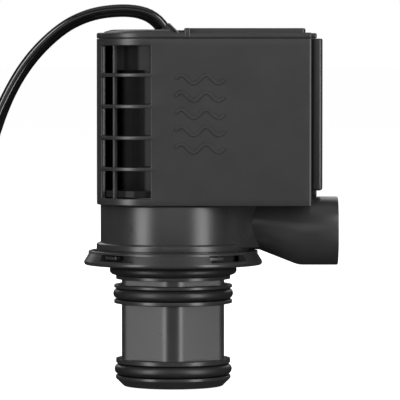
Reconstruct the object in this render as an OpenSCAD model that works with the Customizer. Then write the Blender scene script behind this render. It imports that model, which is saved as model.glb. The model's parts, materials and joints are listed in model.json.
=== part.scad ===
// Submersible aquarium filter pump: motor block in a two-shell casing, pump chamber with a side outlet,
// twist-off suction nozzle with three O-rings, magnet rotor and mains lead.
// Millimetres. Origin: centre of the nozzle's lower end face. +Z up the pump axis, +X to the outlet.

/* [Casing] */
// Half of the casing's depth, from the pump axis to the front panel
case_half = 24; // [23.5:0.25:25]
// Distance from the pump axis to the casing's round left end
case_left = 24.2; // [23.8:0.2:25]
// Distance from the pump axis to the right edge of the front shell
case_right = 43.7; // [43:0.1:44]
// Radius of the casing's left corners
case_corner = 17; // [14:0.5:18]
// Wall thickness of the shells
case_wall = 1.6; // [1.2:0.1:1.8]
// Height of the casing's lower edge
case_foot = 58.4; // [58.3:0.1:58.8]
// Height of the joint between the shells and the top cover
case_head = 111; // [110.5:0.1:111.2]

/* [Grille] */
// Number of openings in each column of the grille
grille_rows = 5; // [3:1:6]
// Thickness of each grille bar
grille_bar = 1.2; // [1:0.1:2]
// How far the grille wraps round the corner, in degrees
grille_sweep = 65; // [50:1:70]

/* [Outlet] */
// Height of the outlet pipe's axis
outlet_z = 49.6; // [49.4:0.1:49.7]
// Outer radius of the outlet pipe
outlet_r = 10.95; // [10.5:0.05:10.95]
// Distance from the pump axis to the outlet's open end
outlet_x = 52.7; // [50:0.1:56]

/* [Nozzle] */
// Distance across the flats of the hexagonal grip
hex_flats = 32.6; // [32:0.2:33.4]
// Radius of the suction bore
suction_r = 13; // [12:0.25:13.25]
// Outer radius of the bayonet flange's lip
lip_r = 28.5; // [28:0.1:29]

/* [Rotor] */
// Radius of the ceramic shaft
shaft_r = 1.5; // [1.3:0.1:1.6]
// Radial running clearance on the shaft
shaft_play = 0.05; // [0.03:0.01:0.08]
// Radius of the magnet
magnet_r = 7.6; // [7:0.1:8]
// Number of impeller vanes
vane_count = 6; // [4:1:8]

/* [Hidden] */
$fn = 96;
e = 0.01;

// Casing
corner_x = case_corner - case_left;
corner_y = case_half - case_corner;
seam_y = 2;
rear_right = 46;
lap = 3;
grille_x = -6.8;
grille_low = 60.6;
grille_high = 108.7;
upright_t = 0.7;
upright_in = 0.12;
upright_at = -133;
grille_pitch = (grille_high - grille_low + grille_bar) / grille_rows;
deck_z = 61;
deck_t = 2;
mark_x = 8.6;
mark_z = 76.6;
wave_periods = 2;
wave_steps = 12;
wave_len = 7.8;
wave_height = 1.3;
wave_t = 1.1;
wave_count = 5;
wave_pitch = 5.4;
cover_step = 112.8;
cover_low = 113.8;
cover_high = 114.2;
ridge_x = 3.6;

// Rail on the right side
rail_x = [45.3, 47.6];
rail_y = [-6, 4];
rail_foot = 62.6;

// Motor block
pot_r = 17.7;
pot_half = 20.5;
pot_x = 40;
pot_t = 1.5;
collar_r = 21.6;
collar_z = [101, 109.5];
collar_x = 41.6;
well_r = 9;
well_t = 1.2;
well_top = 91.5;
seat_r = 6;
seat_top = 93.5;
resin_z = [95.3, 108.5];
core_z = [67.5, 88.5];
core_x = 35;
arm_in = 5.5;
arm_out = 12.5;
pole_r = 15.9;
coil_x = [14, 28.5];
coil_t = 3.2;
bobbin_t = 0.9;
fit = 0.1;

// Pump chamber
chamber_r = 23.2;
chamber_top = 58.2;
bulge_x = 8.5;
bulge_r = 20;
neck_r = 21.3;
step_z = [43.7, 46];
step_r = 24.5;
spigot_r = 24.3;
spigot_z = 39.7;
cavity_r = 21.3;
roof_z = 56.5;
outlet_wall = 2.05;
throat_x = 27.5;
throat_r = 8.4;
throat_z = 52;
pipe_x = 40;

// Bayonet: lugs on the chamber, windows in the cover's flange
lug_count = 4;
lug_r = 26;
lug_z = [41.1, 42.2];
lug_deg = 12;
window_deg = 31;
window_z = [40.6, 42.7];
window_at = 49;
flange_in = 25;
channel_r = 26.3;

// Nozzle: heights of the ridges, grooves and O-rings
flange_z = [38.9, 43.4];
plug_r = 20.9;
plug_z = 45.4;
eye_r = 8.5;
ridge_top = [34.4, 35.4];
ridge_upper = [31.5, 32.4];
ridge_lower = [26.6, 27.7];
ridge_base = [7.4, 8.7];
collar_base = 3.4;
hex_round = 4.8;
ring_upper = [18.85, 37.15, 1.5];
ring_middle = [17.45, 29.6, 1.75];
ring_lower = [17.05, 5.4, 1.75];
ring_cover = [20.1, 42.6, 1.1];
ring_chamber = [12.2, 60.2, 0.95];

// Rotor and impeller
shaft_z = [41.8, 93.2];
magnet_z = [64, 89];
sleeve_z = [62.6, 90.4];
sleeve_r = 3.4;
dog_z = [56, 61.5];
dog_r = 5.6;
dog_deg = 50;
dog_neck_r = 3.2;
cup_z = [55.4, 60.4];
cup_r = 7.2;
cup_bore = 6;
vane_z = [47.2, 54];
vane_r = 16.5;
vane_t = 1.4;
disc_t = 1.4;
hub_r = 3.6;
bearing_z = [41.2, 45.6];
bearing_r = 3.4;

// Mains lead: flat two-core cord on round-number route points, then a coil and a tail
cord_r = 2.3;
gland_tip = [-3.3, 4, 114.3];
gland_deg = 52;
gland_len = 20;
gland_r = 4;
gland_taper = 9;
cord_route = [
    [-3.3, 4, 114.3], [-5.1, 4, 116.5], [-7.6, 4, 118.3], [-10.6, 4, 119.4], [-14, 4, 119.9],
    [-18.5, 4, 119.9], [-24, 4, 119.2],
    [-29, 4, 117.7], [-34, 4, 115.2], [-39, 4, 111.4], [-44, 4, 106.4], [-48.5, 4, 100.5],
    [-52.5, 3.8, 93.5], [-56, 3.2, 85.5], [-59, 2, 76.5], [-61.5, 0, 66.5], [-63.5, -2.8, 56],
    [-65.5, -6, 45.5], [-68, -9.4, 35], [-71.5, -12.6, 25.5], [-76, -15.2, 17], [-81.5, -17, 10],
    [-88, -17.8, 5.2], [-95, -18, 3.2]
];
tail_route = [
    [-96, -18, 8.4], [-101, -18, 8.1], [-106, -18, 7.6], [-111, -18, 7.1], [-116, -18, 6.9]
];
coil_centre = [-96, 16];
coil_r = [20.4, 35.8];
coil_z = [0.5, 11.2];
tie_t = 0.5;
tie_w = 5;
tie_at = 60;
plug_tip = [-116, -18, 6.9];
relief_len = 22;
plug_len = 34;
plug_half = 17.6;
plug_thick = 13.6;
pin_len = 19;
pin_r = 2;
pin_gap = 18.6;

// ---------- helpers ----------

// Outline of the casing, seen from above, drawn in by inset; right is the distance to its right edge.
module plan(inset, right) {
    r = case_corner - inset;
    for (side = [-1, 1])
        translate([corner_x, side * corner_y])
            circle(r);
    translate([corner_x, -case_half + inset])
        square([right - corner_x, 2 * (case_half - inset)]);
    translate([inset - case_left, -corner_y])
        square([case_left, 2 * corner_y]);
}

module slab(x, y, z) {
    translate([x[0], y[0], z[0]])
        cube([x[1] - x[0], y[1] - y[0], z[1] - z[0]]);
}

module disc(r, z) {
    translate([0, 0, z[0]])
        cylinder(r = r, h = z[1] - z[0]);
}

module tube(r_in, r_out, z) {
    difference() {
        disc(r_out, z);
        disc(r_in, [z[0] - 1, z[1] + 1]);
    }
}

// Cylinder along +X from x[0] to x[1], with its axis at height z.
module bar_x(r, x, z) {
    translate([x[0], 0, z])
        rotate([0, 90, 0])
            cylinder(r = r, h = x[1] - x[0]);
}

// Sector of a ring about the pump axis, centred on angle at.
module sector(r_in, r_out, z, at, width) {
    far = 1.5 * r_out;
    edge = far * [cos(width / 2), sin(width / 2)];
    intersection() {
        tube(r_in, r_out, z);
        rotate([0, 0, at])
            translate([0, 0, z[0] - 1])
                linear_extrude(z[1] - z[0] + 2)
                    polygon([[0, 0], [edge[0], -edge[1]], edge]);
    }
}

// Direction of the middle of bayonet window k: two pairs, each window opposite its twin.
function window_dir(k) = 90 * (k - k % 2) + (k % 2 == 0 ? -window_at : window_at);

module torus(ring) {
    translate([0, 0, ring[1]])
        rotate_extrude()
            translate([ring[0], 0])
                circle(ring[2], $fn = 40);
}

// Hexagon with round corners, one corner towards the front, drawn as flats plus corner circles.
module round_hex(flats, round) {
    reach = (flats / 2 - round) / cos(30);
    for (k = [0:5])
        rotate(60 * k + 30)
            translate([reach, 0])
                circle(round);
    for (k = [0:2])
        rotate(60 * k)
            square([flats, 2 * reach * sin(30)], center = true);
}

// ---------- casing ----------

// Rows of openings that wrap round the front left corner.
module grille_cut() {
    far = 2 * case_corner;
    for (k = [0:grille_rows - 1])
        translate([0, 0, grille_low + k * grille_pitch])
            linear_extrude(grille_pitch - grille_bar)
                polygon([
                    [grille_x, -corner_y], [grille_x, -case_half - 2],
                    [corner_x - far * sin(grille_sweep), -case_half - 2],
                    [corner_x - far * sin(grille_sweep), -corner_y - far * cos(grille_sweep)],
                    [corner_x, -corner_y]
                ]);
}

// Slim upright behind the bars, part way round the corner.
module grille_upright() {
    translate([corner_x, -corner_y, grille_low - 1])
        rotate([0, 0, upright_at])
            translate([case_corner - case_wall - upright_in, -upright_t / 2, 0])
                cube([case_wall, upright_t, grille_high - grille_low + 2]);
}

// Notch in the right walls, where the outlet pipe comes out under the casing.
module outlet_notch() {
    bar_x(outlet_r + 0.35, [38, 60], outlet_z);
}

module shell_wall(right) {
    translate([0, 0, case_foot])
        linear_extrude(case_head - case_foot)
            difference() {
                plan(0, right);
                plan(case_wall, right - case_wall);
            }
}

// One wavy line, drawn flat: two periods of a sine with straight-cut ends.
module wave_line() {
    half = wave_periods * wave_steps / 2;
    middle = [
        for (k = [-half:half])
            [k * wave_len / wave_steps, wave_height * sin(360 * k / wave_steps)]
    ];
    upper = [for (p = middle) p + [0, wave_t / 2]];
    lower = [for (k = [2 * half:-1:0]) middle[k] - [0, wave_t / 2]];
    polygon(concat(upper, lower));
}

// Plain water mark in low relief on the front panel.
module wave_mark() {
    for (k = [0:wave_count - 1])
        translate([mark_x, 0.3 - case_half, mark_z + k * wave_pitch])
            rotate([90, 0, 0])
                linear_extrude(0.7)
                    wave_line();
}

module front_casing() color([0.20, 0.20, 0.21]) {
    difference() {
        union() {
            difference() {
                shell_wall(case_right);
                slab([-40, 60], [seam_y, 40], [50, 120]);
            }
            slab([case_right - case_wall, case_right], [seam_y - e, seam_y + lap], [case_foot, case_head]);
        }
        grille_cut();
        outlet_notch();
    }
    grille_upright();
    wave_mark();
}

module rear_casing() color([0.18, 0.18, 0.19]) {
    difference() {
        union() {
            difference() {
                shell_wall(rear_right);
                slab([-40, 60], [-40, seam_y + 0.1], [50, 120]);
            }
            slab(rail_x, rail_y, [rail_foot, case_head]);
        }
        outlet_notch();
    }
}

module top_cover() color([0.19, 0.19, 0.20]) {
    difference() {
        union() {
            translate([0, 0, case_head + 0.1])
                linear_extrude(cover_step - case_head - 0.1)
                    plan(0, case_right);
            slab([case_right - 1, rear_right], [seam_y, case_half], [case_head + 0.1, cover_step]);
            translate([0, 0, cover_step - e])
                linear_extrude(cover_low - cover_step + e)
                    plan(2, case_right - 2);
            slab([ridge_x, case_right - 2], [-case_half + 2, case_half - 2], [cover_step, cover_high]);
            slab([ridge_x, ridge_x + 2.1], [-case_half - 0.3, case_half - 2],
                [case_head + 0.1, cover_high]);
            // locating rim inside the shells
            difference() {
                translate([0, 0, case_head - 1.2])
                    linear_extrude(1.4)
                        plan(case_wall + 0.15, case_right - case_wall - 0.15);
                translate([0, 0, case_head - 2])
                    linear_extrude(2.1)
                        plan(case_wall + 1.2, case_right - case_wall - 1.2);
            }
        }
        slab([-1, ridge_x], [-30, 14], [cover_step, 120]);
        gland_bore();
    }
}

// ---------- motor block ----------

module pot_plan(inset) {
    circle(pot_r - inset);
    translate([12, -pot_half + inset])
        square([pot_x - 12 - inset, 2 * (pot_half - inset)]);
    polygon([
        [-1, -pot_r + inset + 0.05], [12, -pot_half + inset],
        [12, pot_half - inset], [-1, pot_r - inset - 0.05]
    ]);
}

module collar_plan(inset) {
    circle(collar_r - inset);
    translate([0, -collar_r + inset])
        square([collar_x - inset, 2 * (collar_r - inset)]);
}

module screw_places() {
    for (k = [0:3])
        rotate([0, 0, 45 + 90 * k])
            translate([15.2, 0, 0])
                children();
}

module motor_housing() color([0.10, 0.10, 0.11]) {
    difference() {
        union() {
            translate([0, 0, deck_z])
                linear_extrude(deck_t)
                    plan(case_wall + 0.15, case_right - case_wall - 0.15);
            translate([0, 0, deck_z])
                linear_extrude(collar_z[1] - deck_z)
                    pot_plan(0);
            translate([0, 0, collar_z[0]])
                linear_extrude(collar_z[1] - collar_z[0])
                    collar_plan(0);
        }
        difference() {
            translate([0, 0, deck_z + deck_t])
                linear_extrude(60)
                    pot_plan(pot_t);
            disc(well_r + well_t, [60, seat_top + 1.3]);
            screw_places()
                disc(3, [60, 67]);
        }
        translate([0, 0, collar_z[0] + pot_t])
            linear_extrude(20)
                difference() {
                    collar_plan(pot_t);
                    pot_plan(0);
                }
        disc(well_r, [50, well_top]);
        disc(seat_r, [50, seat_top]);
        screw_places()
            disc(1.25, [60, 66]);
    }
}

module potting_resin() color([0.07, 0.07, 0.08]) {
    difference() {
        translate([0, 0, resin_z[0]])
            linear_extrude(resin_z[1] - resin_z[0])
                pot_plan(pot_t + 0.02);
        gland_bore();
    }
}

module arm_pair() {
    for (side = [-1, 1])
        translate([0, side > 0 ? arm_in : -arm_out])
            square([core_x, arm_out - arm_in]);
}

module stator_core() color([0.45, 0.46, 0.48]) {
    translate([0, 0, core_z[0]])
        linear_extrude(core_z[1] - core_z[0])
            difference() {
                union() {
                    intersection() {
                        circle(pole_r);
                        translate([-pole_r, -pole_r])
                            square([pole_r + coil_x[0] - 0.3, 2 * pole_r]);
                    }
                    translate([0, -pole_r + 0.4])
                        square([coil_x[0] - 0.3, 2 * pole_r - 0.8]);
                    arm_pair();
                    translate([coil_x[1] + 0.3, -arm_out])
                        square([core_x - coil_x[1] - 0.3, 2 * arm_out]);
                }
                circle(well_r + well_t + fit);
                translate([-20, -2])
                    square([40, 4]);
            }
}

// Square sleeve round one arm of the core; grow is how far it stands off the iron.
module arm_block(side, grow, x) {
    y_mid = side * (arm_in + arm_out) / 2;
    half = (arm_out - arm_in) / 2 + grow;
    slab(x, [y_mid - half, y_mid + half], [core_z[0] - grow, core_z[1] + grow]);
}

module bobbin(side) {
    difference() {
        union() {
            arm_block(side, bobbin_t, coil_x);
            arm_block(side, bobbin_t + coil_t, [coil_x[0], coil_x[0] + bobbin_t]);
            arm_block(side, bobbin_t + coil_t, [coil_x[1] - bobbin_t, coil_x[1]]);
        }
        arm_block(side, 0.02, [coil_x[0] - 1, coil_x[1] + 1]);
    }
}

module bobbin_front() color([0.85, 0.85, 0.80])
    bobbin(-1);

module bobbin_rear() color([0.85, 0.85, 0.80])
    bobbin(1);

module winding(side) {
    inner = [coil_x[0] + bobbin_t, coil_x[1] - bobbin_t];
    difference() {
        arm_block(side, bobbin_t + coil_t - 0.15, inner);
        arm_block(side, bobbin_t, [coil_x[0] - 1, coil_x[1] + 1]);
    }
}

module coil_front() color([0.72, 0.36, 0.16])
    winding(-1);

module coil_rear() color([0.72, 0.36, 0.16])
    winding(1);

module thermal_cutout() color([0.75, 0.72, 0.65])
    slab([coil_x[0] + 2, coil_x[1] - 2], [-11.5, -6.5], [core_z[1] + bobbin_t + coil_t - 0.15, 94.9]);

// ---------- cable gland ----------

// Frame of the gland: its own +Z is the direction in which the cord leaves.
module at_gland() {
    translate(gland_tip)
        rotate([0, gland_deg - 90, 0])
            children();
}

module gland_bore() {
    at_gland()
        translate([0, 0, -gland_len])
            cylinder(r = gland_r, h = gland_len + 1.5);
}

module cable_gland() color([0.12, 0.12, 0.13]) {
    at_gland() {
        translate([0, 0, -gland_len])
            cylinder(r = gland_r, h = gland_len - gland_taper);
        translate([0, 0, -gland_taper - e])
            cylinder(r1 = gland_r, r2 = 3, h = gland_taper + e);
        for (k = [0:2])
            translate([0, 0, -6.4 + 2.2 * k])
                cylinder(r = gland_r - 0.2 * k, h = 1.1);
    }
}

// ---------- pump chamber ----------

// Skewed pipe between two round ends along X.
module skew_pipe(x, z, r) {
    hull()
        for (k = [0, 1])
            translate([x[k], 0, z[k]])
                rotate([0, 90, 0])
                    cylinder(r = r[k], h = 0.02, $fn = 48);
}

module pump_chamber() color([0.21, 0.21, 0.22]) {
    difference() {
        union() {
            disc(chamber_r, [step_z[1] - e, chamber_top]);
            translate([bulge_x, 0, 0])
                disc(bulge_r, [step_z[1] - 2, chamber_top]);
            disc(neck_r, [step_z[1], deck_z]);
            disc(step_r, step_z);
            disc(spigot_r, [spigot_z, step_z[0] + 1]);
            for (k = [0:lug_count - 1])
                sector(spigot_r - 0.5, lug_r, lug_z,
                    window_dir(k) - (window_deg - lug_deg) / 2 + 1, lug_deg);
            bar_x(throat_r, [15, throat_x + 0.02], throat_z);
            skew_pipe([throat_x, pipe_x], [throat_z, outlet_z], [throat_r, outlet_r]);
            bar_x(outlet_r, [pipe_x, outlet_x], outlet_z);
        }
        disc(cavity_r, [30, roof_z]);
        disc(well_r, [30, 70]);
        bar_x(throat_r - outlet_wall, [12, throat_x], throat_z);
        skew_pipe([throat_x - 0.01, pipe_x], [throat_z, outlet_z],
            [throat_r - outlet_wall, outlet_r - outlet_wall]);
        bar_x(outlet_r - outlet_wall, [pipe_x - 0.01, outlet_x + 1], outlet_z);
        tube(ring_chamber[0] - 1, ring_chamber[0] + 1, [deck_z - 1.75, deck_z + 1]);
        screw_places()
            disc(1.6, [50, 70]);
        screw_places()
            disc(2.9, [50, roof_z + 1.7]);
    }
}

module chamber_seal() color([0.05, 0.05, 0.05])
    torus(ring_chamber);

module chamber_screws() color([0.7, 0.7, 0.72])
    screw_places() {
        disc(1.5, [roof_z + 1.6, 66]);
        difference() {
            disc(2.7, [roof_z + 0.1, roof_z + 1.7]);
            for (turn = [0, 90])
                rotate([0, 0, turn])
                    slab([-1.8, 1.8], [-0.35, 0.35], [50, roof_z + 0.9]);
        }
    }

// ---------- rotor ----------

module upper_bearing() color([0.08, 0.08, 0.08])
    tube(shaft_r, seat_r, [well_top + 0.2, seat_top]);

module shaft() color([0.92, 0.92, 0.90])
    disc(shaft_r, shaft_z);

module washer(z) {
    tube(shaft_r + shaft_play, 3.1, z);
}

module upper_washer() color([0.9, 0.9, 0.88])
    washer([sleeve_z[1] + 0.2, sleeve_z[1] + 0.9]);

module lower_washer() color([0.9, 0.9, 0.88])
    washer([bearing_z[1] + 0.2, bearing_z[1] + 1.1]);

module rotor_magnet() color([0.16, 0.15, 0.15])
    tube(sleeve_r, magnet_r, magnet_z);

module rotor_sleeve() color([0.80, 0.80, 0.78]) {
    difference() {
        union() {
            disc(sleeve_r, sleeve_z);
            disc(magnet_r, [sleeve_z[0], magnet_z[0]]);
            disc(magnet_r - 0.4, [magnet_z[1], sleeve_z[1]]);
            disc(dog_neck_r, [dog_z[0], sleeve_z[0] + e]);
            sector(dog_neck_r - 0.6, dog_r, [dog_z[0], dog_z[1]], 0, dog_deg);
        }
        disc(shaft_r + shaft_play, [50, 100]);
    }
}

module impeller() color([0.75, 0.76, 0.76]) {
    difference() {
        union() {
            disc(hub_r, [vane_z[0], vane_z[1] + e]);
            disc(vane_r, [vane_z[1], vane_z[1] + disc_t]);
            disc(cup_r, [vane_z[1], cup_z[1]]);
            for (k = [0:vane_count - 1])
                rotate([0, 0, 360 / vane_count * k])
                    slab([hub_r - 0.5, vane_r], [-vane_t / 2, vane_t / 2], [vane_z[0], vane_z[1] + e]);
        }
        disc(shaft_r + shaft_play, [40, 70]);
        difference() {
            disc(cup_bore, [cup_z[0], 70]);
            sector(dog_neck_r + 0.4, cup_r, [cup_z[0] - 1, cup_z[1]], 180, dog_deg);
        }
    }
}

// ---------- suction nozzle with bayonet cover ----------

module nozzle_outside() {
    rotate_extrude()
        polygon([
            [0, flange_z[0]], [lip_r - 0.3, flange_z[0]], [lip_r, flange_z[0] + 0.5],
            [lip_r, flange_z[0] + 1.1], [26.8, flange_z[1] - 0.5], [26.6, flange_z[1]], [0, flange_z[1]]
        ]);
    disc(17.55, [ridge_top[0], flange_z[0] + e]);
    disc(18.3, ridge_top);
    disc(18.9, ridge_upper);
    disc(15.75, [ridge_lower[0], ridge_upper[1]]);
    disc(18.9, ridge_lower);
    disc(18.3, ridge_base);
    disc(15.35, [collar_base - 1, ridge_base[1]]);
    disc(18.4, [2.6, collar_base]);
    cylinder(r1 = 16, r2 = 18.4, h = 2.6);
    translate([0, 0, ridge_base[1] - 0.5])
        linear_extrude(ridge_lower[0] - ridge_base[1] + 1)
            round_hex(hex_flats, hex_round);
    translate([0, 0, ridge_upper[1] - 0.5])
        linear_extrude(ridge_top[0] - ridge_upper[1] + 1)
            round_hex(hex_flats, hex_round);
    // grips on the flange, left and right
    for (side = [0, 180])
        sector(24.9, 27.1, [41.2, flange_z[1]], side, 14);
}

module spider() {
    disc(bearing_r + 1.3, [bearing_z[0], plug_z]);
    for (k = [0:2])
        rotate([0, 0, 90 + 120 * k])
            slab([0, eye_r + 1], [-0.8, 0.8], [bearing_z[0], plug_z - 0.6]);
}

module nozzle_cover() color([0.20, 0.20, 0.21]) {
    difference() {
        union() {
            nozzle_outside();
            disc(plug_r, [flange_z[0], plug_z]);
        }
        // room for the chamber's spigot
        tube(plug_r, flange_in, [spigot_z - 0.3, flange_z[1] + 1]);
        disc(suction_r, [-1, 36]);
        translate([0, 0, 36 - e])
            cylinder(r1 = suction_r, r2 = eye_r, h = 4.5);
        disc(eye_r, [39, plug_z + 1]);
        tube(ring_cover[0] - ring_cover[2] + 0.02, plug_r + 1,
            [ring_cover[1] - 1.15, ring_cover[1] + 1.15]);
        for (k = [0:lug_count - 1]) {
            sector(24.5, 30, window_z, window_dir(k), window_deg);
            sector(24.5, channel_r, [window_z[0], flange_z[1] + 1],
                window_dir(k) + (window_deg - lug_deg) / 2 - 0.75, lug_deg + 1.5);
        }
    }
    difference() {
        spider();
        disc(bearing_r, [30, plug_z + 1]);
    }
}

module cover_seal() color([0.05, 0.05, 0.05])
    torus(ring_cover);

module lower_bearing() color([0.08, 0.08, 0.08])
    tube(shaft_r + shaft_play, bearing_r, bearing_z);

module o_ring_upper() color([0.04, 0.04, 0.04])
    torus(ring_upper);

module o_ring_middle() color([0.04, 0.04, 0.04])
    torus(ring_middle);

module o_ring_lower() color([0.04, 0.04, 0.04])
    torus(ring_lower);

// ---------- mains lead ----------

function unit(v) = v / norm(v);
function tangent(p, i) = unit(p[min(i + 1, len(p) - 1)] - p[max(i - 1, 0)]);

// Tube along points p. The route never runs along Y, so Y gives every ring its sideways direction.
module sweep(p, r, sides = 8) {
    rings = [
        for (i = [0:len(p) - 1])
            let (t = tangent(p, i), up = unit(cross(t, [0, 1, 0])), side = cross(up, t))
                for (k = [0:sides - 1])
                    p[i] + r * (cos(360 * k / sides) * side + sin(360 * k / sides) * up)
    ];
    last = (len(p) - 1) * sides;
    walls = [
        for (i = [0:len(p) - 2])
            for (k = [0:sides - 1])
                let (a = i * sides + k, b = i * sides + (k + 1) % sides)
                    [a, b, b + sides, a + sides]
    ];
    caps = [
        [for (k = [sides - 1:-1:0]) k],
        [for (k = [0:sides - 1]) last + k]
    ];
    polyhedron(rings, concat(walls, caps));
}

module cord_run() color([0.03, 0.03, 0.03])
    sweep(cord_route, cord_r);

module cord_tail() color([0.03, 0.03, 0.03])
    sweep(tail_route, cord_r);

module at_coil() {
    translate([coil_centre[0], coil_centre[1], 0])
        children();
}

module cord_coil() color([0.03, 0.03, 0.03])
    at_coil()
        tube(coil_r[0], coil_r[1], coil_z);

module cord_tie() color([0.9, 0.9, 0.9])
    at_coil()
        rotate([0, 0, tie_at])
            difference() {
                slab([coil_r[0] - tie_t - 0.3, coil_r[1] + tie_t + 0.3], [-tie_w / 2, tie_w / 2],
                    [coil_z[0] - tie_t, coil_z[1] + tie_t]);
                slab([coil_r[0] - 0.3, coil_r[1] + 0.3], [-tie_w, tie_w], coil_z);
            }

// Frame of the plug: its own +X runs from the cord's entry to the pins.
module at_plug() {
    translate(plug_tip)
        rotate([0, 0, 180])
            children();
}

module plug_body() color([0.04, 0.04, 0.04])
    at_plug() {
        rotate([0, 90, 0])
            cylinder(r1 = 2.9, r2 = 4.6, h = relief_len);
        hull() {
            translate([relief_len - 1, 0, 0])
                rotate([0, 90, 0])
                    cylinder(r = 4.6, h = 1, $fn = 32);
            translate([relief_len + 12, 0, 0])
                cube([1, 2 * plug_half - 8, plug_thick - 1], center = true);
        }
        translate([relief_len + 12, -plug_half, -plug_thick / 2])
            cube([plug_len - 12, 2 * plug_half, plug_thick]);
    }

module plug_pins() color([0.8, 0.8, 0.8])
    at_plug()
        for (side = [-1, 1])
            translate([relief_len + plug_len, side * pin_gap / 2, 0])
                rotate([0, 90, 0])
                    cylinder(r = pin_r, h = pin_len);

front_casing();
rear_casing();
top_cover();
motor_housing();
potting_resin();
stator_core();
bobbin_front();
bobbin_rear();
coil_front();
coil_rear();
thermal_cutout();
cable_gland();
pump_chamber();
chamber_seal();
chamber_screws();
upper_bearing();
shaft();
upper_washer();
lower_washer();
rotor_magnet();
rotor_sleeve();
impeller();
nozzle_cover();
cover_seal();
lower_bearing();
o_ring_upper();
o_ring_middle();
o_ring_lower();
cord_run();
cord_coil();
cord_tie();
cord_tail();
plug_body();
plug_pins();
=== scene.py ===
"""Looks of a submersible aquarium filter pump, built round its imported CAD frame."""

import json
import math

import bmesh
import bpy
from mathutils import Matrix, Vector

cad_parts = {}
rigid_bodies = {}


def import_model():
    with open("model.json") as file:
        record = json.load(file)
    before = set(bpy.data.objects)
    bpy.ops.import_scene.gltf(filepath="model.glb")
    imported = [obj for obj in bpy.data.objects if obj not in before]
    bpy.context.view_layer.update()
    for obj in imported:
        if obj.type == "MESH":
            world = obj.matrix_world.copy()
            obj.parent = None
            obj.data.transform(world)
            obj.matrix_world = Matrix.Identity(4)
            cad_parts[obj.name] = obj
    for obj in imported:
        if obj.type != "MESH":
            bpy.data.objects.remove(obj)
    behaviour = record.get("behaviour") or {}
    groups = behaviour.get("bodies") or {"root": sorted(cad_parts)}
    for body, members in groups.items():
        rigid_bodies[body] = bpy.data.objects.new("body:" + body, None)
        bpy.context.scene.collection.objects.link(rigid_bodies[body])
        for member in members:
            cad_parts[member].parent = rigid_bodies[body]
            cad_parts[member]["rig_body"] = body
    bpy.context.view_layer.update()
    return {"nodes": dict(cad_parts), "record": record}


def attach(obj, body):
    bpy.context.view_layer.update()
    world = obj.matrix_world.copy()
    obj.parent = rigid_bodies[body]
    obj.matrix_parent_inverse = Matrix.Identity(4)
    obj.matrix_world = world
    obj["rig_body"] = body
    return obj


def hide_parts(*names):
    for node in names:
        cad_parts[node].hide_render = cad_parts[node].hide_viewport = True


bl_info = {
    "name": "Aquarium pump head",
    "version": (1, 0, 0),
    "blender": (4, 5, 0),
    "location": "View3D > Sidebar > Pump",
    "description": "Builds the visual pieces of a submersible filter pump round its CAD frame",
    "category": "Object",
}

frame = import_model()

MM = 0.001

# Casing and lid, in millimetres
LEFT, FRONT, RIGHT, REAR_RIGHT = -24.2, 24.0, 43.7, 46.0
CORNER = 17.0
CORNER_X, CORNER_Y = LEFT + CORNER, FRONT - CORNER
FOOT, HEAD, SEAM = 58.4, 111.0, 2.0
GRILLE_X, GRILLE_LOW, GRILLE_TOP, GRILLE_SWEEP = -6.8, 60.6, 108.7, 65
UPRIGHT_AT, UPRIGHT_IN = -133, 0.12
RAIL_BOX, RAIL_FOOT = (44.2, 47.6, -6.0, 4.0), 62.6
LID_TOP, LID_STEP_TOP, LID_PAD_TOP = 112.8, 114.2, 113.8

# Chamber and outlet pipe, in millimetres
OUTLET_Z, OUTLET_R, OUTLET_BORE, NOTCH_R = 49.6, 10.95, 8.9, 11.3
THROAT_Z, THROAT_R, THROAT_BORE = 52.0, 8.4, 6.35
CHAMBER_R, CHAMBER_TOP, CAVITY_R, SPIGOT_R, SPIGOT_LOW = 23.2, 58.2, 21.3, 24.3, 39.7
SWELL, SWELL_DEG = 5.3, 45
SCREW_CIRCLE = 15.2

# Nozzle, in millimetres
HEX_FLATS, HEX_BLUNT, HEX_ROUND = 32.6, 6.4, 2.4
HEX_CORNER = (HEX_FLATS / 2 - HEX_ROUND) / math.cos(math.radians(30)) + HEX_ROUND
WINDOWS, WINDOW_WIDE, LUG_WIDE = (-49.0, 49.0, 131.0, 229.0), 31.0, 12.0
LUG_SHIFT = (WINDOW_WIDE - LUG_WIDE) / 2
RINGS = [  # piece, body, radius, height, section radius
    ("o_ring_upper", "cover", 18.85, 37.15, 1.5), ("o_ring_middle", "cover", 17.45, 29.6, 1.75),
    ("o_ring_lower", "cover", 17.05, 5.4, 1.75), ("cover_seal", "cover", 20.1, 42.6, 1.1),
    ("chamber_seal", "pump", 12.2, 60.2, 0.95),
]

# Mains lead route, in millimetres: out of the gland, down to the floor, round the coil, to the plug
RUN = [
    (-3.3, 4, 114.3), (-5.1, 4, 116.5), (-7.6, 4, 118.3), (-10.6, 4, 119.4), (-14, 4, 119.9),
    (-18.5, 4, 119.9), (-24, 4, 119.2),
    (-29, 4, 117.7), (-34, 4, 115.2), (-39, 4, 111.4), (-44, 4, 106.4), (-48.5, 4, 100.5),
    (-52.5, 3.8, 93.5), (-56, 3.2, 85.5), (-59, 2, 76.5), (-61.5, 0, 66.5), (-63.5, -2.8, 56),
    (-65.5, -6, 45.5), (-68, -9.4, 35), (-71.5, -12.6, 25.5), (-76, -15.2, 17), (-81.5, -17, 10),
    (-88, -17.8, 5.2), (-95, -18, 3.2),
]
TAIL = [(-101, -18, 8.1), (-106, -18, 7.6), (-111, -18, 7.1), (-116, -18, 6.9)]
COIL_X, COIL_Y, COIL_TURNS = -96.0, 16.0, 7
COIL_OUT, COIL_PITCH, COIL_LOW, COIL_HIGH = 34.0, 3.4, 3.1, 8.3
TIE_AT = math.radians(60)
PATH_STEP, ON_EDGE_FROM = 1.5, 110  # spacing of path points, and the first where the lead stands on edge
TWIST_OUT, TWIST_MORE, TWIST_ENDS, TWIST_FADE = 50, 14, 58, 50
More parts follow.
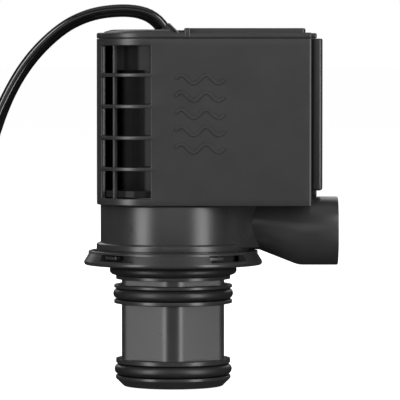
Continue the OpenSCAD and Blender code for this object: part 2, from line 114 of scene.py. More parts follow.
PLUG_TIP, PLUG_LONG = (-116.0, -18.0, 6.9), 56.0
PIN_R, PIN_LONG, PIN_APART = 2.0, 19.0, 18.6
GLAND_TIP, GLAND_TILT, GLAND_LONG, GLAND_R = (-3.3, 4.0, 114.3), 52, 20.0, 4.0

# Floor, in millimetres
FLOOR_HALF, FLOOR_Z = 30000, -0.4

# Camera, in metres, and its lens in millimetres
CAMERA_AT, CAMERA_AIM, CAMERA_LENS = (0.0086, -1.149, 0.1056), (0.0086, 0, 0.0594), 323.4
LIGHTS = [  # name, azimuth and elevation in degrees, distance, width and height in metres, share of the key
    ("left_strip", -49, 10, 0.95, 0.36, 1.4, 1.0), ("right_strip", 47, 10, 0.95, 0.32, 1.4, 1.06),
    ("front_box", 0, 14, 1.4, 0.9, 0.6, 0.13), ("top_box", 0, 78, 1.1, 1.0, 0.8, 0.14),
    ("back_left", -158, 30, 1.3, 0.7, 0.9, 0.3), ("back_right", 158, 30, 1.3, 0.7, 0.9, 0.3),
]


# ---------- settings ----------


def length(name, text, default, low=0.0, high=1.0):
    return bpy.props.FloatProperty(
        name=name, description=text, default=default, min=low, max=high, subtype="DISTANCE", unit="LENGTH"
    )


def whole_number(name, text, default, low, high):
    return bpy.props.IntProperty(name=name, description=text, default=default, min=low, max=high)


def colour(name, text, default):
    return bpy.props.FloatVectorProperty(
        name=name, description=text, default=default, size=3, min=0, max=1, subtype="COLOR"
    )


class PumpCasingSettings(bpy.types.PropertyGroup):
    plastic: colour("Casing plastic", "Colour of the shells and the top cover", (0.029, 0.029, 0.0305))
    wall: length("Wall", "Thickness of the shells' walls", 0.0016, 0.001, 0.002)
    edge: length("Edge radius", "Rounding of the shells' moulded edges", 0.0003, 0.0001, 0.0005)
    rows: whole_number("Grille rows", "Openings in each column of the grille", 5, 3, 6)
    bar: length("Grille bar", "Height of each grille bar", 0.0012, 0.001, 0.002)
    waves: whole_number("Waves", "Lines in the raised water mark", 5, 1, 6)


class PumpNozzleSettings(bpy.types.PropertyGroup):
    plastic: colour("Wet-end plastic", "Colour of the chamber and the nozzle", (0.029, 0.029, 0.0305))
    rubber: colour("Ring rubber", "Colour of the O-rings", (0.015, 0.015, 0.015))
    edge: length("Ridge radius", "Rounding of the nozzle's ridges", 0.00025, 0.0001, 0.0004)
    segments: whole_number("Segments", "Steps round the axis", 192, 96, 360)


class PumpLeadSettings(bpy.types.PropertyGroup):
    sheath: colour("Sheath", "Colour of the mains lead and the plug", (0.005, 0.005, 0.005))
    width: length("Width", "Width of the flat lead", 0.0052, 0.004, 0.006)
    thick: length("Thickness", "Thickness of the flat lead", 0.0034, 0.003, 0.004)


class PumpStageSettings(bpy.types.PropertyGroup):
    key: bpy.props.FloatProperty(
        name="Strip light power", description="Power of the left strip light in watts",
        default=9.6, min=0, max=200
    )
    ambient: bpy.props.FloatProperty(
        name="Room light", description="Strength of the light from all round", default=0.025, min=0, max=2
    )
    floor: colour("Floor", "Colour of the floor", (0.86, 0.86, 0.86))


# ---------- node helpers ----------


def new_group(name, kind, inputs, outputs):
    """An empty node group with named sockets, and its two end nodes."""
    tree = bpy.data.node_groups.new(name, kind)
    for label, socket, value in inputs:
        made = tree.interface.new_socket(label, in_out="INPUT", socket_type=socket)
        if value is not None:
            made.default_value = value
    for label, socket in outputs:
        tree.interface.new_socket(label, in_out="OUTPUT", socket_type=socket)
    return tree, tree.nodes.new("NodeGroupInput"), tree.nodes.new("NodeGroupOutput")


def node(tree, kind, values=None, **settings):
    """A node with its settings made and its input sockets filled; a socket value links it."""
    made = tree.nodes.new(kind)
    for key, value in settings.items():
        setattr(made, key, value)
    for key, value in (values or {}).items():
        if isinstance(value, bpy.types.NodeSocket):
            tree.links.new(value, made.inputs[key])
        else:
            made.inputs[key].default_value = value
    return made


def maths(tree, operation, a, b=0.0):
    """One sum on two values or sockets."""
    return node(tree, "ShaderNodeMath", {0: a, 1: b}, operation=operation).outputs[0]


def mix(tree, share, a, b):
    """Colour a, with b taking its share."""
    return node(tree, "ShaderNodeMix", {0: share, 6: a, 7: b}, data_type="RGBA").outputs[2]


def for_camera(tree, hidden, seen):
    """Shader seen for the camera's own rays, and shader hidden for all others."""
    path = node(tree, "ShaderNodeLightPath")
    return node(tree, "ShaderNodeMixShader", {0: path.outputs["Is Camera Ray"], 1: hidden.outputs[0],
                                              2: seen.outputs[0]}).outputs[0]


def blank_tree(owner):
    """The emptied node tree of a material or a world."""
    owner.use_nodes = True
    owner.node_tree.nodes.clear()
    return owner.node_tree


# ---------- materials ----------


def grain_group():
    """Fine moulded grain and slow mottling, both over the object's own coordinates."""
    tree, start, end = new_group(
        "moulded_grain", "ShaderNodeTree",
        [("Vector", "NodeSocketVector", None), ("Grain per metre", "NodeSocketFloat", 4000.0),
         ("Mottle per metre", "NodeSocketFloat", 60.0)],
        [("Grain", "NodeSocketFloat"), ("Mottle", "NodeSocketFloat")],
    )
    fine = node(tree, "ShaderNodeTexNoise", {"Vector": start.outputs[0], "Scale": start.outputs[1],
                                             "Detail": 3.0})
    slow = node(tree, "ShaderNodeTexNoise", {"Vector": start.outputs[0], "Scale": start.outputs[2],
                                             "Detail": 5.0, "Roughness": 0.62})
    spread = node(tree, "ShaderNodeMapRange", {"Value": slow.outputs[0], 1: 0.3, 2: 0.7})
    tree.links.new(fine.outputs[0], end.inputs[0])
    tree.links.new(spread.outputs[0], end.inputs[1])
    return tree


def rub_and_highlight_group():
    """Mask of edges made paler, partly as rub wear and partly as a painted highlight: where a rounded normal
    leaves the real one, broken up by noise.
    """
    tree, start, end = new_group(
        "edge_rub_and_highlight", "ShaderNodeTree",
        [("Vector", "NodeSocketVector", None), ("Radius", "NodeSocketFloat", 0.0004)],
        [("Mask", "NodeSocketFloat")],
    )
    rounded = node(tree, "ShaderNodeBevel", {"Radius": start.outputs[1]}, samples=4)
    geometry = node(tree, "ShaderNodeNewGeometry")
    match = node(tree, "ShaderNodeVectorMath", {0: rounded.outputs[0], 1: geometry.outputs["Normal"]},
                 operation="DOT_PRODUCT")
    edge = node(tree, "ShaderNodeMapRange", {"Value": match.outputs["Value"], 1: 0.998, 2: 0.93})
    patch = node(tree, "ShaderNodeTexNoise", {"Vector": start.outputs[0], "Scale": 420.0, "Detail": 4.0})
    broken = node(tree, "ShaderNodeMapRange", {"Value": patch.outputs[0], 1: 0.35, 2: 0.65})
    tree.links.new(maths(tree, "MULTIPLY", edge.outputs[0], broken.outputs[0]), end.inputs[0])
    return tree


def dust_group():
    """Mask of fine dust that settles on faces turned upwards."""
    tree, start, end = new_group(
        "settled_dust", "ShaderNodeTree", [("Vector", "NodeSocketVector", None)],
        [("Mask", "NodeSocketFloat")],
    )
    geometry = node(tree, "ShaderNodeNewGeometry")
    up = node(tree, "ShaderNodeSeparateXYZ", {0: geometry.outputs["Normal"]})
    facing = node(tree, "ShaderNodeMapRange", {"Value": up.outputs[2], 1: 0.6, 2: 1.0})
    specks = node(tree, "ShaderNodeTexNoise", {"Vector": start.outputs[0], "Scale": 1500.0, "Detail": 6.0,
                                               "Roughness": 0.7})
    sparse = node(tree, "ShaderNodeMapRange", {"Value": specks.outputs[0], 1: 0.52, 2: 0.75})
    tree.links.new(maths(tree, "MULTIPLY", facing.outputs[0], sparse.outputs[0]), end.inputs[0])
    return tree


# Colour, mottle share, roughness, its spread, bump distance, grain per metre, paler edges (rub wear and
# painted highlight), metallic and coat of each
FINISHES = {
    "casing_plastic": (None, 0.07, 0.34, 0.04, 2.2e-5, 3600, 0.35, 0, 0),
    "wet_plastic": (None, 0.09, 0.30, 0.04, 1.2e-5, 2600, 0.35, 0, 0),
    "motor_plastic": ((0.015, 0.015, 0.016), 0.10, 0.13, 0.02, 1.0e-5, 2400, 0.2, 0, 0),
    "resin": ((0.010, 0.010, 0.012), 0.25, 0.22, 0.08, 3.0e-5, 500, 0.0, 0, 0.3),
    "core_steel": ((0.36, 0.37, 0.39), 0.12, 0.38, 0.10, 2.0e-5, 1500, 0.3, 1, 0),
    "bobbin_plastic": ((0.66, 0.64, 0.56), 0.05, 0.42, 0.06, 1.0e-5, 2000, 0.1, 0, 0),
    "winding": ((0.60, 0.22, 0.07), 0.15, 0.28, 0.06, 0.0, 1200, 0.0, 1, 0.4),
    "gland_rubber": ((0.006, 0.006, 0.006), 0.15, 0.40, 0.06, 1.5e-5, 2500, 0.25, 0, 0),
    "ring_rubber": (None, 0.20, 0.42, 0.06, 1.0e-5, 2500, 0.1, 0, 0),
    "screw_steel": ((0.56, 0.56, 0.58), 0.10, 0.26, 0.08, 1.0e-5, 3000, 0.4, 1, 0),
    "ceramic": ((0.82, 0.82, 0.78), 0.03, 0.18, 0.04, 3.0e-6, 3000, 0.0, 0, 0.3),
    "ferrite": ((0.050, 0.047, 0.047), 0.25, 0.48, 0.10, 2.5e-5, 1800, 0.3, 0, 0),
    "rotor_plastic": ((0.56, 0.57, 0.56), 0.05, 0.34, 0.05, 8.0e-6, 2200, 0.1, 0, 0),
    "cord_sheath": (None, 0.20, 0.22, 0.04, 1.0e-5, 1800, 0.0, 0, 0.5),
    "tie_plastic": ((0.74, 0.74, 0.72), 0.04, 0.36, 0.05, 8.0e-6, 2000, 0.1, 0, 0),
    "plug_plastic": (None, 0.15, 0.44, 0.06, 2.5e-5, 2600, 0.3, 0, 0),
    "pin_metal": ((0.72, 0.71, 0.66), 0.08, 0.16, 0.06, 5.0e-6, 2500, 0.5, 1, 0),
}
LAYERS, LAYER_DEPTH = {"core_steel": 1300.0, "winding": 900.0}, 6e-5
SHEEN = {"motor_plastic": 0.06}
DUST, DUST_COLOUR, DUST_SHOWS = 0.10, (0.35, 0.35, 0.34, 1), 0.1
MATERIALS = {}


def make_material(name, groups, tint):
    """The finish of one material slot: mottled colour, edges made paler as rub wear and as a painted
    highlight, dust, uneven gloss and grain.
    """
    base, share, rough, spread, depth, grain_scale, rub_and_highlight, metallic, coat = FINISHES[name]
    base = tint or base
    material = bpy.data.materials.new(name)
    tree = blank_tree(material)
    place = node(tree, "ShaderNodeTexCoord").outputs["Object"]
    grain = node(tree, "ShaderNodeGroup", {0: place, 1: grain_scale}, node_tree=groups["grain"])
    low = [c * (1 - share) for c in base] + [1]
    high = [min(c * (1 + share), 1) for c in base] + [1]
    pale = [min(c * 1.6 + 0.02, 1) for c in base] + [1]
    shade = mix(tree, grain.outputs[1], low, high)
    # Edges turn pale: partly real rub wear, partly a painted highlight along the edges.
    if rub_and_highlight:
        worn_and_lit_edges = node(tree, "ShaderNodeGroup", {0: place}, node_tree=groups["rub_and_highlight"])
        shade = mix(tree, maths(tree, "MULTIPLY", worn_and_lit_edges.outputs[0], rub_and_highlight), shade, pale)
    if not metallic and base[0] < DUST_SHOWS:
        dust = node(tree, "ShaderNodeGroup", {0: place}, node_tree=groups["dust"])
        shade = mix(tree, maths(tree, "MULTIPLY", dust.outputs[0], DUST), shade, DUST_COLOUR)
    height = grain.outputs[0]
    if name in LAYERS:
        lines = node(tree, "ShaderNodeTexWave", {"Vector": place, "Scale": LAYERS[name], "Distortion": 0.6},
                     bands_direction="Z" if name == "core_steel" else "X", wave_type="BANDS")
        height = maths(tree, "ADD", lines.outputs["Fac"], maths(tree, "MULTIPLY", height, 0.2))
        depth = LAYER_DEPTH
    gloss = node(tree, "ShaderNodeMapRange",
                 {"Value": grain.outputs[1], 3: rough - spread, 4: rough + spread}).outputs[0]
    bump = node(tree, "ShaderNodeBump", {"Height": height, "Strength": 0.6, "Distance": max(depth, 1e-6)})
    shader = node(tree, "ShaderNodeBsdfPrincipled", {"Base Color": shade, "Roughness": gloss,
                                                     "Normal": bump.outputs[0], "Metallic": float(metallic)})
    shader.inputs["Coat Weight"].default_value = coat
    shader.inputs["Specular IOR Level"].default_value = SHEEN.get(name, 0.5)
    end = node(tree, "ShaderNodeOutputMaterial", {0: shader.outputs[0]})
    end.is_active_output = True
    MATERIALS[name] = material


def make_materials(scene):
    groups = {"grain": grain_group(), "rub_and_highlight": rub_and_highlight_group(), "dust": dust_group()}
    tints = {
        "casing_plastic": tuple(scene.pump_casing.plastic), "wet_plastic": tuple(scene.pump_nozzle.plastic),
        "ring_rubber": tuple(scene.pump_nozzle.rubber), "cord_sheath": tuple(scene.pump_lead.sheath),
        "plug_plastic": tuple(scene.pump_lead.sheath),
    }
    for name in FINISHES:
        make_material(name, groups, tints.get(name))


# ---------- mesh helpers ----------


def add_object(name, data):
    """A new object in the scene."""
    made = bpy.data.objects.new(name, data)
    bpy.context.scene.collection.objects.link(made)
    return made


def mesh_object(name, points, faces):
    """An object from points in millimetres."""
    mesh = bpy.data.meshes.new(name)
    mesh.from_pydata([[c * MM for c in p] for p in points], [], faces)
    return add_object(name, mesh)


def outwards(made):
    """Merges doubles and turns every face outwards."""
    bm = bmesh.new()
    bm.from_mesh(made.data)
    bmesh.ops.remove_doubles(bm, verts=bm.verts, dist=1e-7)
    bmesh.ops.recalc_face_normals(bm, faces=bm.faces)
    bm.to_mesh(made.data)
    bm.free()


def modifier(made, kind, **settings):
    """A new modifier with its settings."""
    added = made.modifiers.new(kind.lower(), kind)
    for key, value in settings.items():
        setattr(added, key, value)
    return added


def bake_modifiers(made):
    """Replaces the object's mesh with its evaluated one and drops its modifiers."""
    bpy.context.view_layer.update()
    graph = bpy.context.evaluated_depsgraph_get()
    mesh = bpy.data.meshes.new_from_object(made.evaluated_get(graph))
    made.modifiers.clear()
    made.data = mesh


def boolean(made, other, operation):
    """Joins the other solid to this one or cuts it away, and uses it up."""
    modifier(made, "BOOLEAN", operation=operation, object=other, solver="EXACT")
    bake_modifiers(made)
    bpy.data.objects.remove(other)


def join(made, *others):
    """Adds the other objects' meshes to this one's."""
    bm = bmesh.new()
    for part in (made, *others):
        bm.from_mesh(part.data)
    bm.to_mesh(made.data)
    bm.free()
    for part in others:
        bpy.data.objects.remove(part)
    return made


def paint(made, slot):
    """Puts one material on every face."""
    made.data.materials.clear()
    made.data.materials.append(MATERIALS[slot])
    for face in made.data.polygons:
        face.material_index = 0


def settle(made, slot, body="pump", replaces=(), angle=32):
    """Gives a finished piece its smooth faces, its material and its place on a CAD body."""
    made.data.shade_smooth()
    made.data.set_sharp_from_angle(angle=math.radians(angle))
    paint(made, slot)
    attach(made, body)
    if replaces:
        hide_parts(*replaces)
    return made


def rounded(points, radius, steps=4):
    """A closed outline with its corners rounded; a point may carry its own radius, and a third value."""
    out = []
    count = len(points)
    for i, point in enumerate(points):
        before, after = points[i - 1], points[(i + 1) % count]
        own = point[3] if len(point) > 3 else radius
        flag = point[2] if len(point) > 2 else 0.0
        here = Vector(point[:2])
        into = here - Vector(before[:2])
        out_of = Vector(after[:2]) - here
        reach = min(into.length, out_of.length) * 0.48
        if own <= 0 or into.length < 1e-6 or out_of.length < 1e-6:
            out.append((here.x, here.y, flag))
            continue
        turn = into.angle(out_of)
        if turn < 0.05:
            out.append((here.x, here.y, flag))
            continue
        back = min(own * math.tan(turn / 2), reach)
        start, end = here - into.normalized() * back, here + out_of.normalized() * back
        for k in range(steps + 1):
            t = k / steps
            bent = start * (1 - t) ** 2 + here * (2 * t * (1 - t)) + end * t * t
            out.append((bent.x, bent.y, flag))
    return out


def hex_radius(angle):
    """Distance from the axis to the hexagon's side that way; the front and rear corners are blunter."""
    turn = math.degrees(angle) - 30
    corner = round(turn / 60)
    radius = HEX_BLUNT if corner % 3 == 1 else HEX_ROUND
    reach = (HEX_FLATS / 2 - radius) / math.cos(math.radians(30))
    off = math.radians(abs(turn - 60 * corner))
    from_flat = math.radians(30) - off
    if from_flat <= math.atan(reach / HEX_FLATS):
        return HEX_FLATS / 2 / math.cos(from_flat)
    return reach * math.cos(off) + math.sqrt(radius**2 - (reach * math.sin(off)) ** 2)


def lathe(name, profile, segments=128, centre=(0, 0)):
    """A closed profile of (radius, height, hexagon share) turned about a vertical axis."""
    points, faces = [], []
    count = len(profile)
    for k in range(segments):
        angle = 2 * math.pi * k / segments
        pull = HEX_CORNER - hex_radius(angle)
        for r, z, share in profile:
            radius = r - share * pull
            points.append((centre[0] + radius * math.cos(angle), centre[1] + radius * math.sin(angle), z))
    for k in range(segments):
        a, b = k * count, (k + 1) % segments * count
        for i in range(count):
            j = (i + 1) % count
            faces.append((a + i, b + i, b + j, a + j))
    made = mesh_object(name, points, faces)
    outwards(made)
    return made


def loft(name, rings):
    """A skin over rings of equal point count, with its two ends closed."""
    count = len(rings[0])
    points = [p for ring in rings for p in ring]
    faces = []
    for i in range(len(rings) - 1):
        a, b = i * count, (i + 1) * count
        for k in range(count):
            j = (k + 1) % count
            faces.append((a + k, a + j, b + j, b + k))
    faces.append(tuple(reversed(range(count))))
    faces.append(tuple(range(len(points) - count, len(points))))
    made = mesh_object(name, points, faces)
    outwards(made)
    return made


def slab(name, outline, low, high, top=0.4, bottom=0.3, steps=3):
    """A flat solid over outline(inset), with its upper and lower edges rounded."""
    turns = [(math.sin(math.pi / 2 * k / steps), math.cos(math.pi / 2 * k / steps)) for k in range(steps + 1)]
    rings = [[(x, y, low + bottom * (1 - c)) for x, y in outline(bottom * (1 - s))] for s, c in turns]
    rings += [[(x, y, high - top * (1 - s)) for x, y in outline(top * (1 - c))] for s, c in turns]
    return loft(name, rings)


def arc(cx, cy, r, start, end, steps):
    """Points along an arc, its ends included, with angles in degrees."""
    return [(cx + r * math.cos(math.radians(start + (end - start) * k / steps)),
             cy + r * math.sin(math.radians(start + (end - start) * k / steps))) for k in range(steps + 1)]


def box_outline(x0, x1, y0, y1, r):
    """Outline of a rectangle with round corners, as a function of how far it is drawn in."""
    def outline(inset):
        k = max(r - inset, 0.05)
        left, right, low, high = x0 + inset + k, x1 - inset - k, y0 + inset + k, y1 - inset - k
        return (arc(right, high, k, 0, 90, 4) + arc(left, high, k, 90, 180, 4)
                + arc(left, low, k, 180, 270, 4) + arc(right, low, k, 270, 360, 4))
    return outline


def casing_outline(x1):
    """Outline of the casing as far as x1, seen from above, as a function of how far it is drawn in."""
    def outline(inset):
        r = CORNER - inset
        k = 0.7
        edge = x1 - inset
        side = FRONT - inset
        return (arc(edge - k, side - k, k, 0, 90, 4) + arc(CORNER_X, CORNER_Y, r, 90, 180, 18)
                + arc(CORNER_X, -CORNER_Y, r, 180, 270, 18) + arc(edge - k, -side + k, k, 270, 360, 4))
    return outline


def round_angles(count):
    """Angles of a whole turn, in radians."""
    return [2 * math.pi * k / count for k in range(count)]


def rod(name, start, end, r):
    """A plain round solid between two points, used to cut with."""
    turn = (end - start).to_track_quat("Z", "Y")
    circle = [turn @ Vector((r * math.cos(angle), r * math.sin(angle), 0)) for angle in round_angles(64)]
    return loft(name, [[place + point for point in circle] for place in (start, end)])


def ring_sector(name, r0, r1, z0, z1, at, width, steps=10):
    """A solid block of a ring, centred on direction at, with angles in degrees."""
    outer = arc(0, 0, r1, at - width / 2, at + width / 2, steps)
    inner = arc(0, 0, r0, at + width / 2, at - width / 2, steps)
    return loft(name, [[(x, y, z) for x, y in outer + inner] for z in (z0, z1)])


# ---------- geometry node trees ----------


def finish_tree(tree, geometry, material, end):
    """Every tree ends here: instances made real, then the material set."""
    real = node(tree, "GeometryNodeRealizeInstances", {0: geometry})
    done = node(tree, "GeometryNodeSetMaterial", {"Geometry": real.outputs[0], "Material": material})
    tree.links.new(done.outputs[0], end.inputs[0])


def ring_tree():
    """A moulded rubber ring: a round section swept round the axis, slightly uneven."""
    tree, start, end = new_group(
        "rubber_ring", "GeometryNodeTree",
        [("Geometry", "NodeSocketGeometry", None), ("Radius", "NodeSocketFloat", 0.0188),
         ("Section", "NodeSocketFloat", 0.0015), ("Height", "NodeSocketFloat", 0.0),
         ("Unevenness", "NodeSocketFloat", 0.00004), ("Seed", "NodeSocketFloat", 1.0),
         ("Material", "NodeSocketMaterial", None)],
        [("Geometry", "NodeSocketGeometry")],
    )
    get = {s.name: s for s in start.outputs}
    path = node(tree, "GeometryNodeCurvePrimitiveCircle", {"Resolution": 160, "Radius": get["Radius"]})
    section = node(tree, "GeometryNodeCurvePrimitiveCircle", {"Resolution": 28, "Radius": get["Section"]})
    skin = node(tree, "GeometryNodeCurveToMesh", {0: path.outputs[0], 1: section.outputs[0]})
    place = node(tree, "GeometryNodeInputPosition")
    wobble = node(tree, "ShaderNodeTexNoise", {"Vector": place.outputs[0], "W": get["Seed"], "Scale": 90.0},
                  noise_dimensions="4D")
    centred = maths(tree, "SUBTRACT", wobble.outputs[0], 0.5)
    push = maths(tree, "MULTIPLY", centred, get["Unevenness"])
    normal = node(tree, "GeometryNodeInputNormal")
    offset = node(tree, "ShaderNodeVectorMath", {0: normal.outputs[0], "Scale": push}, operation="SCALE")
    lift = node(tree, "ShaderNodeCombineXYZ", {2: get["Height"]})
    both = node(tree, "ShaderNodeVectorMath", {0: offset.outputs[0], 1: lift.outputs[0]}, operation="ADD")
    moved = node(tree, "GeometryNodeSetPosition", {"Geometry": skin.outputs[0], "Offset": both.outputs[0]})
    finish_tree(tree, moved.outputs[0], get["Material"], end)
    return tree


def polar_tree():
    """Copies of the object's own mesh, spaced evenly round the pump axis."""
    tree, start, end = new_group(
        "polar_copies", "GeometryNodeTree",
        [("Geometry", "NodeSocketGeometry", None), ("Count", "NodeSocketInt", 4),
         ("Step", "NodeSocketFloat", math.pi / 2), ("Material", "NodeSocketMaterial", None)],
        [("Geometry", "NodeSocketGeometry")],
    )
    get = {s.name: s for s in start.outputs}
    spots = node(tree, "GeometryNodeMeshLine", {"Count": get["Count"], "Offset": (0, 0, 0)})
    index = node(tree, "GeometryNodeInputIndex")
    turn = node(tree, "ShaderNodeCombineXYZ", {2: maths(tree, "MULTIPLY", index.outputs[0], get["Step"])})
    euler = node(tree, "FunctionNodeEulerToRotation", {0: turn.outputs[0]})
    copies = node(tree, "GeometryNodeInstanceOnPoints",
                  {"Points": spots.outputs[0], "Instance": get["Geometry"], "Rotation": euler.outputs[0]})
    finish_tree(tree, copies.outputs[0], get["Material"], end)
    return tree


def row_tree():
    """Copies of the object's own mesh along a straight row, each a little smaller than the last."""
    tree, start, end = new_group(
        "row_copies", "GeometryNodeTree",
        [("Geometry", "NodeSocketGeometry", None), ("Count", "NodeSocketInt", 3),
         ("Pitch", "NodeSocketVector", (0, 0, 0.001)), ("Shrink", "NodeSocketFloat", 0.0),
         ("Material", "NodeSocketMaterial", None)],
        [("Geometry", "NodeSocketGeometry")],
    )
    get = {s.name: s for s in start.outputs}
    spots = node(tree, "GeometryNodeMeshLine", {"Count": get["Count"], "Offset": get["Pitch"]})
    index = node(tree, "GeometryNodeInputIndex")
    less = maths(tree, "MULTIPLY", index.outputs[0], get["Shrink"])
    size = maths(tree, "SUBTRACT", 1.0, less)
    copies = node(tree, "GeometryNodeInstanceOnPoints",
                  {"Points": spots.outputs[0], "Instance": get["Geometry"], "Scale": size})
    finish_tree(tree, copies.outputs[0], get["Material"], end)
    return tree


def tree_named(name, builder):
    """The Geometry Nodes tree of that name, built the first time it is asked for."""
    return bpy.data.node_groups.get(name) or builder()


def run_tree(made, tree, slot, **values):
    """Runs a tree on the object with its inputs set by identifier, and keeps the plain result."""
    added = made.modifiers.new("tree", "NODES")
    added.node_group = tree
    values["Material"] = MATERIALS[slot]
    for item in tree.interface.items_tree:
        if item.in_out == "INPUT" and item.name in values:
            added[item.identifier] = values[item.name]
    bake_modifiers(made)
    return made


def place_mesh(made, matrix):
    """Moves the mesh, and leaves the object at the origin."""
    made.data.transform(matrix)
    made.data.update()


def stand(made, x, y, turn):
    """Turns a mesh about the upright axis, in radians, then moves it to x, y in millimetres."""
    place_mesh(made, Matrix.Translation((x * MM, y * MM, 0)) @ Matrix.Rotation(turn, 4, "Z"))


# ---------- mains lead ----------


def smooth_path(points):
    """Points every PATH_STEP or so along a smooth curve through the given ones."""
    ends = [Vector(p) for p in (points[0], *points, points[-1])]
    out = []
    for i in range(1, len(ends) - 2):
        p0, p1, p2, p3 = ends[i - 1: i + 3]
        count = max(2, round((p2 - p1).length / PATH_STEP))
        for k in range(count):
            t = k / count
            out.append(0.5 * (2 * p1 + (p2 - p0) * t + (2 * p0 - 5 * p1 + 4 * p2 - p3) * t * t
                              + (3 * p1 - p0 - 3 * p2 + p3) * t**3))
    out.append(ends[-2])
    return out


def ease(t):
    """Smooth step from 0 to 1."""
    t = min(max(t, 0.0), 1.0)
    return t * t * (3 - 2 * t)


def lead_path():
    """The whole centreline in millimetres: run, coil of two layers, tail."""
    path = smooth_path(RUN)
    per_turn = 72
    half = COIL_TURNS / 2
    for k in range(1, COIL_TURNS * per_turn + 1):
        turn = k / per_turn
        angle = math.radians(-90) - 2 * math.pi * turn
        radius = COIL_OUT - COIL_PITCH * min(turn, half) + COIL_PITCH * max(turn - half, 0)
        height = COIL_LOW + (COIL_HIGH - COIL_LOW) * ease((turn - half + 0.2) / 0.4)
        path.append(Vector((COIL_X + radius * math.cos(angle), COIL_Y + radius * math.sin(angle), height)))
    path += smooth_path([tuple(path[-1])] + TAIL)[1:]
    return path


def flat_lead_section(width, thick):
    """Outline of a two-core flat lead: two round cores side by side with a shallow valley between."""
    count = 28
    radius = thick / 2
    apart = width / 2 - radius
    out = []
    for k in range(count):
        angle = 2 * math.pi * (k + 0.5) / count
        w = apart * max(-1, min(1, 1.6 * math.cos(angle))) + radius * math.cos(angle)
        t = radius * math.sin(angle)
        valley = 1 - 0.26 * math.exp(-((w / (0.28 * width)) ** 2) * 3)
        out.append((w * (width / 2) / (apart + radius), t * valley))
    return out


class PUMP_OT_lead(bpy.types.Operator):
    """Mains lead on its real route, with its plug, pins and tie"""

    bl_idname = "pump.lead"
    bl_label = "Mains lead"

    def execute(self, context):
        settings = context.scene.pump_lead
        path = lead_path()
        section = flat_lead_section(settings.width / MM, settings.thick / MM)
        travelled = 0.0
        rings = []
        for i, point in enumerate(path):
            ahead = path[min(i + 1, len(path) - 1)] - path[max(i - 1, 0)]
            ahead.normalize()
            if i:
                travelled += (point - path[i - 1]).length
            wide = ahead.cross(Vector((0, 1, 0))) if i < ON_EDGE_FROM else Vector((0, 0, -1))
            wide = (wide - ahead * wide.dot(ahead)).normalized()
            side = wide.cross(ahead)
            turned = math.radians(TWIST_OUT + TWIST_MORE * ease(travelled / TWIST_MORE))
            twist = turned * (1 - ease((travelled - TWIST_ENDS) / TWIST_FADE))
            across = wide * math.cos(twist) + side * math.sin(twist)
            through = side * math.cos(twist) - wide * math.sin(twist)
            rings.append([point + across * w + through * t for w, t in section])
        lead = loft("mains_lead", rings)
        settle(lead, "cord_sheath", replaces=("cord_run", "cord_coil", "cord_tail"))
        plug = self.plug()
        pins = self.pins()
        tie = self.tie()
        return {"FINISHED"}

    def plug(self):
        """Flat two-pin plug: ribbed strain relief, flared shoulders and a waisted grip."""
        stations = []
        relief = 22.0
        for k in range(45):
            x = relief * k / 44
            r = 2.95 + 1.65 * x / relief
            groove = 0.45 * max(0, math.sin(2 * math.pi * (x - 1.5) / 3.0)) if 1.5 < x < 19.5 else 0
            stations.append((x, r - groove, r - groove, 2.0))
        for k in range(1, 17):
            t = k / 16
            stations.append((relief + 13 * t, 4.6 + 12.6 * ease(t), 4.6 + 2.0 * ease(t), 2 + 1.6 * ease(t)))
        for k in range(1, 15):
            t = k / 14
            waist = 0.9 * math.sin(math.pi * t) ** 2
            stations.append((35 + 19.4 * t, 17.2 + 0.3 * t - waist, 6.6 + 0.1 * t - waist * 0.5, 3.6))
        for k in range(1, 5):
            turn = math.pi / 2 * k / 4
            stations.append((54.4 + 1.6 * math.sin(turn), 17.5 - 1.6 * (1 - math.cos(turn)),
                             6.7 - 1.6 * (1 - math.cos(turn)), 3.6))
        rings = []
        for x, half, thin, power in stations:
            ring = []
            for angle in round_angles(48):
                c, s = math.cos(angle), math.sin(angle)
                ring.append((PLUG_TIP[0] - x, PLUG_TIP[1] + half * math.copysign(abs(c) ** (2 / power), c),
                             PLUG_TIP[2] + thin * math.copysign(abs(s) ** (2 / power), s)))
            rings.append(ring)
        return settle(loft("plug", rings), "plug_plastic", replaces=("plug_body",), angle=50)

    def pins(self):
        """The plug's two round pins, one copied beside the other."""
        rings = [[(-r * math.sin(turn), r * math.cos(turn), z) for turn in round_angles(24)]
                 for r, z in ((PIN_R, 0), (PIN_R, 9.0), (PIN_R, 18.0), (1.85, 18.6), (1.4, PIN_LONG))]
        pin = loft("plug_pin_pair", rings)
        place = Vector((PLUG_TIP[0] - PLUG_LONG, PLUG_TIP[1] - PIN_APART / 2, PLUG_TIP[2])) * MM
        place_mesh(pin, Matrix.Translation(place) @ Matrix.Rotation(math.radians(-90), 4, "Y"))
        run_tree(pin, tree_named("row_copies", row_tree), "pin_metal", Count=2, Pitch=(0, PIN_APART * MM, 0))
        return settle(pin, "pin_metal", replaces=("plug_pins",))

    def tie(self):
        """Reusable tie round the coil's turns, with a small buckle."""
        inner, outer, low, high, wall, half = 20.1, 36.1, 0.5, 11.2, 0.5, 2.5
        outline = box_outline(inner - wall, outer + wall, low - wall, high + wall, 1.6)
        ring_out, ring_in = outline(0.0), outline(wall)
        strip = []
        for y, pair in ((-half, (ring_in, ring_out)), (half, (ring_out, ring_in))):
            for ring in pair:
                strip.append([(x, y, z) for x, z in ring])
        count = len(ring_out)
        points = [p for ring in strip for p in ring]
        faces = []
        for i in range(4):
            a, b = i * count, (i + 1) % 4 * count
            for k in range(count):
                j = (k + 1) % count
                faces.append((a + k, a + j, b + j, b + k))
        tie = mesh_object("coil_tie", points, faces)
        outwards(tie)
        buckle = slab("buckle", box_outline(outer - 4.2, outer + wall - 0.2, -3.0, 3.0, 0.8),
                      high + wall - 0.3, high + wall, top=0.1, bottom=0.05)
        join(tie, buckle)
        stand(tie, COIL_X, COIL_Y, TIE_AT)
        return settle(tie, "tie_plastic", replaces=("cord_tie",))


# ---------- casing ----------


